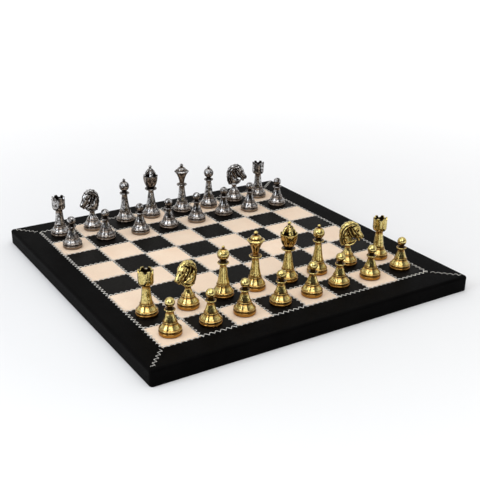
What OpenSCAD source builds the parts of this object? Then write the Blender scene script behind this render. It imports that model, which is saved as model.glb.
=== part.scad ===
// Chess set with its board: a leather-covered board with sewn squares, and 32 cast
// metal chessmen that lift off it. +X runs along the gold side's edge from the left
// rook's corner to the right one, +Y from the gold side to the silver side, +Z up.
// The origin is the centre of the board's underside.

/* [Board] */
// Side of one square of the playing field
square_side = 42.5; // [36:0.5:60]
// Mean width of the plain border round the field
border_w = 31.2; // [20:0.2:50]
// How far the sewn field lies from the board's middle, along X
field_dx = -2.1; // [-5:0.1:5]
// How far the sewn field lies from the board's middle, along Y
field_dy = 1.4; // [-5:0.1:5]
// Thickness of the core panel
core_t = 15.5; // [10:0.5:25]
// Thickness of the leather skin on the core
skin_t = 1.5; // [1:0.1:2.5]
// Thickness of the lining glued under the board
lining_t = 1.5; // [0.8:0.1:3]
// Radius of the rounded upper edge
edge_r = 3.4; // [2.6:0.1:6]
// Radius of the board's rounded corners
corner_r = 4; // [1:0.5:4]
// Seam gap between neighbouring pieces of leather
seam_gap = 0.4; // [0.2:0.1:1]

/* [Stitching] */
// Width that a zigzag run takes up across its seam
stitch_w = 4.4; // [3:0.2:6]
// Height of the thread above the leather
stitch_t = 0.5; // [0.2:0.1:0.8]
// Length of each corner seam that is left unsewn at the outer edge
mitre_end = 4; // [2:0.5:8]

/* [Chessmen] */
// Radius of every chessman's foot
foot_r = 11.9; // [11.6:0.1:15]
// Thickness of the felt pad under a foot
pad_t = 0.8; // [0.5:0.1:1.5]
// Height of the king
king_h = 71; // [71:1:76]
// Height of the queen
queen_h = 67.4; // [67.4:0.2:70]
// Height of the bishop
bishop_h = 58.6; // [57:0.2:62]
// Height of the knight
knight_h = 53.4; // [52:0.2:56]
// Height of the rook
rook_h = 50.8; // [48:0.2:54]
// Height of the pawn
pawn_h = 39.2; // [38.4:0.2:42]

/* [Knights] */
// Turn of the left-hand knights from facing -X towards the gold side
left_turn = 14; // [-45:1:60]
// Turn of the right-hand knights from facing +X towards the gold side
right_turn = 32; // [-45:1:60]

/* [Hidden] */
$fn = 96;
fit = 0.01;                                // drawn past a face, so that cuts go through
glue = 0.02;                               // glue line between a felt pad and its foot
field = 8 * square_side;                   // side of the playing field
board = field + 2 * border_w;              // side of the whole board
field_shift = [field_dx, field_dy];        // the field's middle
board_t = lining_t + core_t + skin_t;      // height of the board's top above its underside

// Every chessman: name, kind, metal, file from -X, rank from -Y, and how far it
// stands from the middle of its square, as it was put down by hand.
OFFICERS = [
    ["gold_rook_left", "rook", "gold", 1, 2, [-4.5, 3.5]],
    ["gold_knight_left", "knight", "gold", 2, 2, [-1.5, -1.5]],
    ["gold_bishop_left", "bishop", "gold", 3, 2, [0, 1.5]],
    ["gold_queen", "queen", "gold", 4, 2, [-2.5, 0.5]],
    ["gold_king", "king", "gold", 5, 2, [-3, -1.5]],
    ["gold_bishop_right", "bishop", "gold", 6, 2, [-3.5, -0.5]],
    ["gold_knight_right", "knight", "gold", 7, 2, [-2, 0.5]],
    ["gold_rook_right", "rook", "gold", 8, 2, [0, -2.5]],
    ["silver_rook_left", "rook", "silver", 1, 8, [-2, -0.5]],
    ["silver_knight_left", "knight", "silver", 2, 8, [-1, -0.5]],
    ["silver_bishop_left", "bishop", "silver", 3, 8, [3.5, 2.5]],
    ["silver_king", "king", "silver", 4, 8, [-1, 2.5]],
    ["silver_queen", "queen", "silver", 5, 8, [0.5, -2]],
    ["silver_bishop_right", "bishop", "silver", 6, 8, [-1, -3]],
    ["silver_knight_right", "knight", "silver", 7, 8, [-1, -0.5]],
    ["silver_rook_right", "rook", "silver", 8, 8, [-4.5, -1.5]]
];
GOLD_PAWN_OFFSETS = [[-2, -1], [-0.5, -4], [-1, -1], [0, -3], [-0.5, -1.5], [-4, 1], [-2, 1], [0.5, 1.5]];
SILVER_PAWN_OFFSETS = [[-3, -1.5], [0, 2], [3.5, -0.5], [0.5, -2.5], [0.5, 0], [0, 1], [-2, 0], [-1, -2.5]];
PAWNS = concat(
    [for (i = [1:8]) [str("gold_pawn_", i), "pawn", "gold", i, 1, GOLD_PAWN_OFFSETS[i - 1]]],
    [for (i = [1:8]) [str("silver_pawn_", i), "pawn", "silver", i, 7, SILVER_PAWN_OFFSETS[i - 1]]]
);
BORDERS = ["border_gold_side", "border_right", "border_silver_side", "border_left"];

// ---- Outlines: lists of [radius, height] points, from the foot up ----

// A curve from a to c that bends towards b
function curve(a, b, c, steps = 6) =
    [for (i = [0:steps]) let (t = i / steps) (1 - t) * (1 - t) * a + 2 * t * (1 - t) * b + t * t * c];

// An arc about [r, z], from angle a0 to a1
function arc(r, z, radius, a0, a1, steps = 10) =
    [for (i = [0:steps]) let (a = a0 + (a1 - a0) * i / steps) [r + radius * cos(a), z + radius * sin(a)]];

// The foot that all chessmen share: plinth, groove, rim, bell and the ring at ring_z
plinth_top = 4;
groove_r = foot_r - 0.9;
rim_z = 6.6;
ring_r = 7.3;
function foot(ring_z) = concat(
    [[0, pad_t], [foot_r - 0.4, pad_t], [foot_r, pad_t + 0.4], [foot_r, plinth_top - 0.4], [foot_r - 0.4, plinth_top]],
    [[groove_r, plinth_top + 0.3], [groove_r, rim_z - 1.1]],
    [[foot_r - 0.4, rim_z - 0.8], [foot_r - 0.3, rim_z - 0.2], [foot_r - 0.8, rim_z + 0.4]],
    curve([foot_r - 1.1, rim_z + 0.7], [8.8, rim_z + 3.2], [ring_r - 0.3, ring_z - 0.9]),
    arc(ring_r - 0.6, ring_z, 0.6, -70, 80, 6)
);
pawn_ring = 13.6;
officer_ring = 14.8;

// A slim disc that stands out from a stem
function collar(r, z, t) = arc(r - t / 2, z + t / 2, t / 2, -90, 90, 4);

pawn_ball_r = 5.1;
function pawn() = concat(
    foot(pawn_ring),
    curve([6.8, pawn_ring + 0.7], [4.7, 19.4], [3.3, 25.4]),
    collar(5.7, 25.8, 1.4),
    curve([3.1, 27.4], [2.6, 28.4], [3.1, 29.6], 4),
    arc(0, pawn_h - pawn_ball_r, pawn_ball_r, -50, 90)
);

turret_r = 8.2;
turret_base = 35;
function rook() = concat(
    foot(pawn_ring),
    curve([6.8, pawn_ring + 0.7], [5.2, 20], [4.3, turret_base - 1.5]),
    curve([4.5, turret_base - 1], [7.4, turret_base - 0.5], [turret_r - 0.4, turret_base + 1.5], 4),
    [[turret_r, turret_base + 3], [turret_r, rook_h], [turret_r - 1.7, rook_h]],
    [[turret_r - 2.1, rook_h - 5.5], [0, rook_h - 5.5]]
);

bishop_ball_r = 6.6;
function bishop() = concat(
    foot(officer_ring),
    curve([6.9, officer_ring + 0.7], [4.8, 23.5], [3.5, 38]),
    collar(6.4, 38.4, 1.5),
    curve([4, 40], [2.8, 41.4], [3.4, 42.6], 4),
    arc(0, bishop_h - 10.1, bishop_ball_r, -58, 78),
    arc(0, bishop_h - 1.8, 1.8, -50, 90, 6)
);

crown_rim = 57;
function queen() = concat(
    foot(officer_ring),
    curve([6.9, officer_ring + 0.7], [4.8, 23], [3.7, 37.4]),
    collar(7, 37.8, 1.5),
    [[4.2, 39.5]],
    curve([3.3, 41], [4.4, 50], [9.7, crown_rim]),
    [[9.2, crown_rim + 0.8], [7.6, crown_rim + 1.6], [7.2, crown_rim + 1]],
    curve([6.8, crown_rim + 1.4], [5.8, crown_rim + 5], [2, crown_rim + 6]),
    arc(0, queen_h - 2.3, 2.3, -60, 90, 6)
);

cup_base = 40.6;
cup_wall = 1.6;
crown_r = 6.4;
function king() = concat(
    foot(officer_ring),
    curve([6.9, officer_ring + 0.7], [4.9, 24], [3.3, 37.6]),
    collar(8, 38, 1.6),
    [[4.6, 39.8]],
    curve([5, cup_base], [9.6, 46], [10, crown_rim]),
    [[10 - cup_wall, crown_rim], [10 - cup_wall, crown_rim - 2.5], [crown_r - 0.6, crown_rim - 3.5]],
    [[crown_r - 0.6, crown_rim + 4.6], [crown_r, crown_rim + 5.4]],
    curve([crown_r, crown_rim + 6.2], [4.6, crown_rim + 8.6], [1.4, crown_rim + 9.6]),
    [[1, king_h - 2.9]],
    arc(0, king_h - 1.9, 1.9, -50, 90, 6)
);

neck_top = 22.6;
function knight_stem() = concat(
    foot(pawn_ring),
    curve([6.7, pawn_ring + 0.7], [4.2, 17.5], [3.2, neck_top]),
    [[3.2, neck_top + 3], [0, neck_top + 3]]
);

// Side outline of the horse's head and neck, as [forward, up] from the foot's centre
HORSE_SIDE = concat(
    curve([-3.2, 22.8], [-8.4, 23.2], [-9.8, 31]),
    curve([-10, 32], [-12, 46.5], [-4, 51.8]),
    curve([-3.6, 52], [0.4, 53.2], [3.4, 52.4], 4),
    [[4.6, knight_h], [5.8, knight_h - 0.4]],
    curve([7.6, 52], [12.4, 48.6], [13.8, 42]),
    curve([14.2, 40.4], [17.8, 38.4], [17.8, 34.8], 4),
    curve([17.7, 33.4], [16.8, 31.4], [14.6, 32], 4),
    curve([14.2, 31], [13.8, 28.6], [11.4, 29.4], 4),
    [[9.9, 31.9], [6.2, 33.4], [5.8, 31.6]],
    curve([9.9, 30.6], [7.6, 23.2], [3.2, 22.8])
);
// Half widths of the horse from the front, as [half width, up]
HORSE_FRONT = [[3.2, 22], [5.2, 26], [6, 31], [5.6, 40], [4.8, 47], [3.4, 50], [3, knight_h + 1]];
// Half widths of the horse from above, as [forward, half width]
HORSE_TOP = [[-11.5, 1.8], [-7, 3.8], [0, 6.2], [8, 5.4], [12, 4], [16, 3.4], [19, 2.6]];

// ---- Board ----

// One layer of squares, light or dark
module squares(light) {
    cut = square_side - seam_gap;
    for (i = [0:7], j = [0:7])
        if (((i + j) % 2 == 0) == light)
            translate([field_dx + (i - 4) * square_side, field_dy + (j - 4) * square_side, board_t - skin_t])
                translate([seam_gap / 2, seam_gap / 2, 0])
                    cube([cut, cut, skin_t]);
}

module light_squares() { color("bisque") squares(true); }
module dark_squares() { color("black") squares(false); }

// The core reaches up to the skin, and its upper edge is eased under the wrapped leather
module core_panel() {
    side = board - 2 * skin_t;
    ease = edge_r - skin_t;
    color("burlywood")
        difference() {
            translate([-side / 2, -side / 2, lining_t])
                cube([side, side, core_t]);
            for (turn = [0:90:270])
                rotate([0, 0, turn])
                    translate([-board / 2, -side / 2, board_t - skin_t - ease])
                        edge_cut(board, ease);
        }
}

// What is cut off along one straight edge to round it, running along +X
module edge_cut(length, r) {
    difference() {
        translate([0, -fit, 0])
            cube([length, r + fit, r + fit]);
        translate([-fit, r, 0])
            rotate([0, 90, 0])
                cylinder(h = length + 2 * fit, r = r);
    }
}

module bottom_lining() {
    side = board - 2 * skin_t - seam_gap;
    color("dimgray")
        translate([-side / 2, -side / 2, 0])
            cube([side, side, lining_t]);
}

// A strip covers the border on top and wraps down over the board's side. It is drawn
// for the gold side and turned into place, and its ends are mitred. shift is the
// field's middle as the turned strip sees it.
module border_strip(turn) {
    shift = [
        field_dx * cos(turn) + field_dy * sin(turn),
        field_dy * cos(turn) - field_dx * sin(turn)
    ];
    color("dimgray")
        rotate([0, 0, turn])
            intersection() {
                union() {
                    wrapped_leather(border_w + shift[1] - seam_gap / 2);
                    translate([-board / 2, -board / 2 + skin_t, board_t - edge_r])
                        edge_cut(board, edge_r - skin_t);
                }
                mitre_wedge(shift);
                rounded_board();
            }
}

// A block of the board's size with rounded upright corners
module rounded_board() {
    inner = board - 2 * corner_r;
    translate([-board / 2, -inner / 2, 0])
        cube([board, inner, board_t]);
    translate([-inner / 2, -board / 2, 0])
        cube([inner, board, board_t]);
    for (x = [-inner / 2, inner / 2], y = [-inner / 2, inner / 2])
        translate([x, y, 0])
            cylinder(h = board_t, r = corner_r);
}

// The strip's top and side, rounded outside but square where they meet the core
module wrapped_leather(top_w) {
    difference() {
        translate([-board / 2, -board / 2, 0])
            cube([board, top_w, board_t]);
        translate([-board / 2 - fit, -board / 2 + skin_t, -fit])
            cube([board + 2 * fit, top_w, board_t - skin_t + fit]);
        translate([-board / 2, -board / 2, board_t - edge_r])
            edge_cut(board, edge_r);
    }
}

// The part of the board between the gold side's edge and the field
module mitre_wedge(shift) {
    half = board / 2;
    inner = field / 2;
    gap = seam_gap / 2;
    left = shift[0] - inner + gap;
    right = shift[0] + inner - gap;
    translate([0, 0, -fit])
        linear_extrude(board_t + 1)
            polygon([[gap - half, -half], [half - gap, -half], [right, shift[1] - inner], [left, shift[1] - inner]]);
}

// Runs of zigzag thread along every seam of the field, drawn as the band they take up
module field_stitching() {
    run = field + stitch_w;
    color("white")
        translate([field_dx, field_dy, board_t])
            for (k = [-4:4], turn = [0, 90])
                rotate([0, 0, turn])
                    translate([-run / 2, k * square_side - stitch_w / 2, 0])
                        cube([run, stitch_w, stitch_t]);
}

// Runs of zigzag thread along the four mitres, from the field's corners to the board's
module corner_stitching() {
    color("white")
        for (side = [[-1, -1], [1, -1], [1, 1], [-1, 1]]) {
            from = field_shift + field / 2 * side;
            seam = board / 2 * side - from;
            translate([from[0], from[1], board_t])
                rotate([0, 0, atan2(seam[1], seam[0])])
                    translate([stitch_w, -stitch_w / 2, 0])
                        cube([norm(seam) - stitch_w - mitre_end - edge_r, stitch_w, stitch_t]);
        }
}

// ---- Chessmen ----

module turned(outline) {
    rotate_extrude()
        polygon(concat(outline, [[0, outline[len(outline) - 1][1]]]));
}

module pad() {
    cylinder(h = pad_t - glue, r = foot_r - 1);
}

// Notches cut down into the rook's turret wall
module battlements() {
    notches = 6;
    for (k = [0:notches - 1])
        rotate([0, 0, k * 360 / notches])
            translate([0, 0, rook_h - 0.4])
                rotate([0, 90, 0])
                    cylinder(h = turret_r + 1, r = 2.4);
}

// A body whose half width across Y changes along one of its outline's directions
function both_sides(half) =
    concat([for (p = half) [p[0], p[1]]], [for (i = [len(half) - 1:-1:0]) [half[i][0], -half[i][1]]]);
function across(half) = [for (p = half) [p[1], p[0]]];

module horse() {
    reach = 30;
    intersection() {
        rotate([90, 0, 0])
            linear_extrude(reach, center = true)
                polygon(HORSE_SIDE);
        rotate([0, -90, 0])
            linear_extrude(2 * reach, center = true)
                polygon(both_sides(across(HORSE_FRONT)));
        linear_extrude(2 * reach)
            polygon(both_sides(HORSE_TOP));
    }
}

module knight(file) {
    turned(knight_stem());
    rotate([0, 0, file < 5 ? 180 + left_turn : -right_turn])
        horse();
}

module metal_part(kind, file) {
    if (kind == "pawn") turned(pawn());
    if (kind == "bishop") turned(bishop());
    if (kind == "queen") turned(queen());
    if (kind == "king") turned(king());
    if (kind == "knight") knight(file);
    if (kind == "rook")
        difference() {
            turned(rook());
            battlements();
        }
}

// Puts a chessman's part on its square
module stand(man) {
    middle = field_shift + square_side * [man[3] - 4.5, man[4] - 4.5];
    place = middle + man[5];
    translate([place[0], place[1], board_t])
        children();
}

module chessman(man) {
    color(man[2] == "gold" ? "goldenrod" : "silver")
        stand(man)
            metal_part(man[1], man[3]);
}

module felt(man) {
    color("saddlebrown")
        stand(man)
            pad();
}

// A pawn's node holds its casting and its felt pad as two solids
module pawn_with_felt(man) {
    chessman(man);
    felt(man);
}

core_panel();
bottom_lining();
for (k = [0:3]) border_strip(90 * k);
light_squares();
dark_squares();
field_stitching();
corner_stitching();
for (man = OFFICERS) chessman(man);
for (man = OFFICERS) felt(man);
for (man = PAWNS) pawn_with_felt(man);
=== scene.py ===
"""Looks of the chess set: a leather board with sewn squares, and 32 cast metal chessmen with felt pads.

The CAD model gives every place and overall size. Lengths below are in millimetres, as in the CAD
model, and become metres where a mesh is made. Heights in the outlines are above the board's top.
"""

import math
import random

import bpy
import numpy as np
from mathutils import Matrix, Vector, noise


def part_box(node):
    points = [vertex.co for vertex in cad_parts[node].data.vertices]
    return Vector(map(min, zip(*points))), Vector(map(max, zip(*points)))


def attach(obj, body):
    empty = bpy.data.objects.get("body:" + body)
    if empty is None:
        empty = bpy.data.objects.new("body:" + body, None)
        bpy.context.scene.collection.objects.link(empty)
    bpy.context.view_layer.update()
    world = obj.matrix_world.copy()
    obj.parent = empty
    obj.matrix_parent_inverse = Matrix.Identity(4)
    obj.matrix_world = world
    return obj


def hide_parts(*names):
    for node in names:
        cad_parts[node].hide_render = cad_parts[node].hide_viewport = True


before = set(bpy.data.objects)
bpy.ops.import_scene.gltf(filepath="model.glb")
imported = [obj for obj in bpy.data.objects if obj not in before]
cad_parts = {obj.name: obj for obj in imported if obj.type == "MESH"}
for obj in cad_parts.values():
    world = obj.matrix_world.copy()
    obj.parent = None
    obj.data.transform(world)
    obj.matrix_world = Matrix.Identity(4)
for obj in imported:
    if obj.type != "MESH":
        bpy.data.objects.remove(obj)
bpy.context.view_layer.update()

MM = 0.001
METALS = ("gold", "silver")
OFFICER_KINDS = ("rook_left", "knight_left", "bishop_left", "queen", "king",
                 "bishop_right", "knight_right", "rook_right")
PAWNS_PER_SIDE = 8


def node_box(name):
    """A CAD node's lowest and highest corner, in millimetres."""
    low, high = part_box(name)
    return np.array(low) / MM, np.array(high) / MM


# ---- Sizes taken from the frame ----

SEAM_GAP = 0.4
squares_low, squares_high = node_box("light_squares")
TOP = squares_high[2]
SKIN = squares_high[2] - squares_low[2]
FIELD = squares_high[0] - squares_low[0] + SEAM_GAP
MIDDLE = (squares_low[:2] + squares_high[:2]) / 2          # the field's middle, a little off the board's
SQUARE = FIELD / 8
BOARD = node_box("border_silver_side")[1][1] - node_box("border_gold_side")[0][1]
EDGE_R = 3.4                    # radius of the board's upper edge
CORNER_R = 4                    # radius of the board's upright corners
MITRE_END = 4                   # length of each corner seam left unsewn at the outer edge
LEFT_TURN = 14                  # how far the left-hand knights face towards the gold side, in degrees
RIGHT_TURN = 32                 # the same for the right-hand knights

# ---- Meshes ----


def add_piece(name, verts, faces, material, body, replaced=(), smooth_angle=None, attributes=None):
    """A mesh piece from points in millimetres, riding on a body."""
    mesh = bpy.data.meshes.new(name)
    mesh.from_pydata((np.asarray(verts) * MM).tolist(), [], [list(f) for f in faces])
    mesh.validate()
    for key, values in (attributes or {}).items():
        layer = mesh.attributes.new(key, "FLOAT", "POINT")
        layer.data.foreach_set("value", np.asarray(values, np.float32))
    mesh.materials.append(material)
    mesh.shade_smooth()
    if smooth_angle:
        mesh.set_sharp_from_angle(angle=math.radians(smooth_angle))
    piece = bpy.data.objects.new(name, mesh)
    bpy.context.scene.collection.objects.link(piece)
    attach(piece, body)
    if replaced:
        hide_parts(*replaced)
    return piece


def grid_faces(rows, columns, closed_rows=False, closed_columns=False, start=0):
    """Quads of a grid whose point (i, j) is number start + i * columns + j."""
    faces = []
    for i in range(rows if closed_rows else rows - 1):
        below = (i + 1) % rows
        for j in range(columns if closed_columns else columns - 1):
            right = (j + 1) % columns
            faces.append((start + i * columns + j, start + i * columns + right,
                          start + below * columns + right, start + below * columns + j))
    return faces


def curve(a, b, c, steps=8):
    """Points on a curve from a to c that bends towards b."""
    t = np.linspace(0, 1, steps + 1)[:, None]
    return ((1 - t) ** 2 * np.array(a) + 2 * t * (1 - t) * np.array(b) + t ** 2 * np.array(c)).tolist()


def arc(r, z, radius, start, end, steps=12):
    """Points on an arc about [r, z], between two angles in degrees."""
    angles = np.radians(np.linspace(start, end, steps + 1))
    return np.stack([r + radius * np.cos(angles), z + radius * np.sin(angles)], 1).tolist()


def soften(points, radius=0.22, sharp=25):
    """The outline with each corner sharper than that many degrees rounded off.

    A point is added just past each rounding on a long side, so that the side stays flat in its shading.
    """
    points = [np.array(p, float) for p in points]
    result = [points[0]]
    for before, here, after in zip(points, points[1:], points[2:]):
        a, b = before - here, after - here
        la, lb = np.linalg.norm(a), np.linalg.norm(b)
        turn = 180 - math.degrees(math.acos(np.clip(a @ b / (la * lb), -1, 1)))
        if turn < sharp:
            result.append(here)
            continue
        reach = min(radius, 0.4 * la, 0.4 * lb)
        if la > 5 * reach:
            result.append(here + a / la * 2.2 * reach)
        result += [np.array(p) for p in curve(here + a / la * reach, here, here + b / lb * reach, 3)]
        if lb > 5 * reach:
            result.append(here + b / lb * 2.2 * reach)
    result.append(points[-1])
    return np.array(result)


# ---- Materials ----


class Shader:
    """A material in the making: its nodes, and short ways to add and link more."""

    def __init__(self, name, **sockets):
        self.material = bpy.data.materials.new(name)
        self.material.use_nodes = True
        self.nodes = self.material.node_tree.nodes
        self.links = self.material.node_tree.links
        self.bsdf = self.nodes["Principled BSDF"]
        self.place = self.nodes.new("ShaderNodeTexCoord").outputs["Object"]
        for socket, value in sockets.items():
            self.bsdf.inputs[socket.replace("_", " ")].default_value = value

    def connect(self, target, value):
        """Links an output to a socket, or sets the socket to a constant."""
        if isinstance(value, bpy.types.NodeSocket):
            self.links.new(value, target)
        else:
            target.default_value = value

    def noise(self, size, detail=3.0, roughness=0.5, distortion=0.0):
        """Noise whose features are about size millimetres across, from 0 to 1."""
        node = self.nodes.new("ShaderNodeTexNoise")
        node.inputs["Scale"].default_value = 1 / (size * MM)
        node.inputs["Detail"].default_value = detail
        node.inputs["Roughness"].default_value = roughness
        node.inputs["Distortion"].default_value = distortion
        self.links.new(self.place, node.inputs["Vector"])
        return node.outputs["Fac"]

    def cells(self, size):
        """Distance from the edges of cells about size millimetres across."""
        node = self.nodes.new("ShaderNodeTexVoronoi")
        node.feature = "DISTANCE_TO_EDGE"
        node.inputs["Scale"].default_value = 1 / (size * MM)
        self.links.new(self.place, node.inputs["Vector"])
        return node.outputs["Distance"]

    def attribute(self, name):
        """A number stored on each of the mesh's points."""
        node = self.nodes.new("ShaderNodeAttribute")
        node.attribute_name = name
        return node.outputs["Fac"]

    def spread(self, value, low, high, to_low=0.0, to_high=1.0):
        """value carried from the range low..high to the range to_low..to_high."""
        node = self.nodes.new("ShaderNodeMapRange")
        self.connect(node.inputs["Value"], value)
        node.inputs["From Min"].default_value = low
        node.inputs["From Max"].default_value = high
        node.inputs["To Min"].default_value = to_low
        node.inputs["To Max"].default_value = to_high
        return node.outputs["Result"]

    def mix(self, share, a, b):
        """Colour a turning into colour b as share goes from 0 to 1."""
        node = self.nodes.new("ShaderNodeMix")
        node.data_type = "RGBA"
        self.connect(node.inputs["Factor"], share)
        self.connect(node.inputs[6], a)
        self.connect(node.inputs[7], b)
        return node.outputs[2]

    def math(self, operation, a, b):
        """A sum or other operation on two numbers."""
        node = self.nodes.new("ShaderNodeMath")
        node.operation = operation
        self.connect(node.inputs[0], a)
        self.connect(node.inputs[1], b)
        return node.outputs[0]

    def bump(self, height, depth, strength=1.0, under=None):
        """A bump depth millimetres deep where height goes from 0 to 1."""
        node = self.nodes.new("ShaderNodeBump")
        node.inputs["Distance"].default_value = depth * MM
        node.inputs["Strength"].default_value = strength
        self.connect(node.inputs["Height"], height)
        if under is not None:
            self.links.new(under, node.inputs["Normal"])
        return node.outputs["Normal"]

    def finish(self, colour, roughness, normal=None):
        """The material, with its colour, roughness and bump connected."""
        self.connect(self.bsdf.inputs["Base Color"], colour)
        self.connect(self.bsdf.inputs["Roughness"], roughness)
        if normal is not None:
            self.links.new(normal, self.bsdf.inputs["Normal"])
        return self.material


BROWN = 0.20            # patina and painted shade at which the metal is fully brown and not yet black


def metal(name, bright, dull, brown, tarnish_and_shade):
    """Cast, polished metal: dimpled by hand buffing, speckled, and browned, then blackened, in recesses, by
    its patina together with painted shade.
    """
    s = Shader(name, Metallic=1.0)
    smudges, specks, recess = s.noise(3.2, 4, 0.6), s.noise(1.5, 3, 0.6), s.attribute("patina_and_shade")
    polished = s.mix(s.spread(smudges, 0.42, 0.60), bright, dull)
    speckled = s.mix(s.spread(specks, 0.49, 0.70, 0, 0.9), polished, tarnish_and_shade)
    # Where the recess value rises, the colour turns brown and then nearly black: the metal's patina in its
    # hollows, with painted shade laid over it.
    browned = s.mix(s.spread(recess, 0.04, BROWN), speckled, brown)
    colour = s.mix(s.spread(recess, BROWN, 0.42, 0, 0.97), browned, tarnish_and_shade)
    handled = s.spread(s.noise(2.0, 4), 0.3, 0.7, 0.07, 0.20)
    roughness = s.math("ADD", handled, s.spread(recess, 0.25, 0.6, 0, 0.3))
    dimples = s.bump(s.noise(3.6, 2), 0.16)
    grain = s.bump(s.noise(1.3, 2), 0.05, under=dimples)
    return s.finish(colour, roughness, grain)


def leather(name, dark, light, grain_size, grain_depth, specular, rough, tinted=False):
    """Smooth dyed leather with a fine grain, a slow change of tone and, if tinted, a tone for each square."""
    s = Shader(name)
    s.bsdf.inputs["Specular IOR Level"].default_value = specular
    tone = s.spread(s.noise(26, 4, 0.55), 0.3, 0.7)
    colour = s.mix(tone, dark, light)
    if tinted:
        colour = s.mix(s.attribute("tint"), colour, s.mix(0.5, colour, (0.74, 0.58, 0.44, 1)))
    fine = s.noise(grain_size * 1.5, 4, 0.6)
    colour = s.mix(s.spread(fine, 0.35, 0.75, 0, 0.22), colour, s.mix(0.4, colour, (0, 0, 0, 1)))
    pores = s.spread(s.cells(grain_size), 0, 0.18)
    normal = s.bump(pores, grain_depth, 0.6)
    normal = s.bump(s.noise(9, 3), 0.12, under=normal)      # slow waves where it is glued down
    return s.finish(colour, s.spread(fine, 0.3, 0.7, rough - 0.07, rough + 0.07), normal)


def thread_material():
    """Twisted waxed thread: its plies show as slanting furrows along it, bumped and darkened with painted
    shade.
    """
    s = Shader("thread_cream", Sheen_Weight=0.2)
    wave = s.nodes.new("ShaderNodeTexWave")
    wave.inputs["Scale"].default_value = 1.0
    turns = s.nodes.new("ShaderNodeCombineXYZ")
    s.connect(turns.inputs["X"], s.attribute("twist"))
    s.links.new(turns.outputs[0], wave.inputs["Vector"])
    furrow = wave.outputs["Fac"]
    fuzz = s.noise(0.5, 3)
    # The furrows between the plies get a darker colour: painted shade.
    colour = s.mix(furrow, (0.66, 0.62, 0.55, 1), (0.93, 0.91, 0.86, 1))
    colour = s.mix(s.spread(fuzz, 0.4, 0.8, 0, 0.3), colour, (0.74, 0.69, 0.61, 1))
    return s.finish(colour, s.spread(fuzz, 0.3, 0.7, 0.62, 0.8), s.bump(furrow, 0.08))


def felt_material():
    """Pressed wool felt."""
    s = Shader("felt_brown", Sheen_Weight=0.35)
    fibre = s.noise(0.35, 5, 0.7, 1.5)
    colour = s.mix(s.spread(fibre, 0.3, 0.7), (0.035, 0.022, 0.014, 1), (0.085, 0.055, 0.036, 1))
    return s.finish(colour, s.spread(fibre, 0.3, 0.7, 0.85, 0.97), s.bump(fibre, 0.15))


def fibreboard_material():
    """Pressed fibreboard: pale brown with darker flecks."""
    s = Shader("core_fibreboard")
    fleck = s.noise(1.4, 5, 0.7)
    colour = s.mix(s.spread(fleck, 0.35, 0.65), (0.20, 0.12, 0.06, 1), (0.42, 0.29, 0.17, 1))
    return s.finish(colour, s.spread(fleck, 0.3, 0.7, 0.7, 0.9), s.bump(fleck, 0.1))


def lining_material():
    """Flocked lining under the board, with its soft nap lying in changing directions."""
    s = Shader("lining_flock", Sheen_Weight=0.3)
    nap = s.noise(22, 3)
    fibre = s.noise(0.5, 4, 0.7)
    colour = s.mix(s.spread(nap, 0.35, 0.65), (0.016, 0.016, 0.018, 1), (0.030, 0.030, 0.033, 1))
    colour = s.mix(s.spread(fibre, 0.3, 0.8, 0, 0.5), colour, (0.05, 0.05, 0.055, 1))
    return s.finish(colour, s.spread(fibre, 0.3, 0.7, 0.84, 0.97), s.bump(fibre, 0.12))


# brown is the patina's colour and, on the plinths, a painted reflection of the beige squares; the darkest
# colour serves both tarnish specks and painted shade in recesses.
GOLD = metal("gold_brass", bright=(0.82, 0.67, 0.27, 1), dull=(0.58, 0.45, 0.15, 1),
             brown=(0.37, 0.19, 0.045, 1), tarnish_and_shade=(0.012, 0.007, 0.002, 1))
SILVER = metal("silver_pewter", bright=(0.60, 0.59, 0.585, 1), dull=(0.048, 0.040, 0.034, 1),
               brown=(0.22, 0.175, 0.14, 1), tarnish_and_shade=(0.008, 0.006, 0.005, 1))
BLACK = leather("leather_black", dark=(0.0012, 0.0011, 0.0011, 1), light=(0.0024, 0.0022, 0.0022, 1),
                grain_size=0.9, grain_depth=0.05, specular=0.018, rough=0.55)
DARK = leather("leather_dark", dark=(0.0045, 0.0040, 0.0034, 1), light=(0.0075, 0.0066, 0.0056, 1),
               grain_size=0.9, grain_depth=0.05, specular=0.04, rough=0.5)
BEIGE = leather("leather_beige", dark=(0.85, 0.645, 0.475, 1), light=(0.895, 0.72, 0.555, 1),
                grain_size=0.8, grain_depth=0.05, specular=0.3, rough=0.6, tinted=True)
THREAD = thread_material()
FELT = felt_material()

# ---- Board ----

for node, material in (("core_panel", fibreboard_material()), ("bottom_lining", lining_material())):
    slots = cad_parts[node].data.materials
    slots.clear()
    slots.append(material)


def smooth_noise(x, y, size, seed):
    """Smooth noise from -1 to 1 with features about size millimetres across."""
    return noise.noise(Vector((x / size, y / size, seed)))


def strip_section(inner):
    """A border strip's outline across the strip, as [distance from the board's centre, height]."""
    outer = BOARD / 2
    turn_in = 0.9                # how far the edge is drawn down at the seam
    top = [[inner, -SKIN], [inner, -turn_in], [inner + 0.25, -0.42], [inner + 0.8, -0.2]]
    top += [[inner + 1.8, -0.07]]
    across = [[d, 0] for d in np.linspace(inner + 3.6, outer - EDGE_R, 9)]
    edge = arc(outer - EDGE_R, -EDGE_R, EDGE_R, 90, 0, 8)[1:]
    side = [[outer, z] for z in np.linspace(-EDGE_R - 2, -TOP + 1.2, 5)]
    hem = [[outer - 0.15, -TOP + 0.5], [outer - 0.5, -TOP], [outer - SKIN, -TOP]]
    inside = [[outer - SKIN, -EDGE_R]] + arc(outer - EDGE_R, -EDGE_R, EDGE_R - SKIN, 0, 90, 5)
    inside += [[inner + 3, -SKIN]]
    return np.array(top + across + edge + side + hem + inside)


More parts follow.
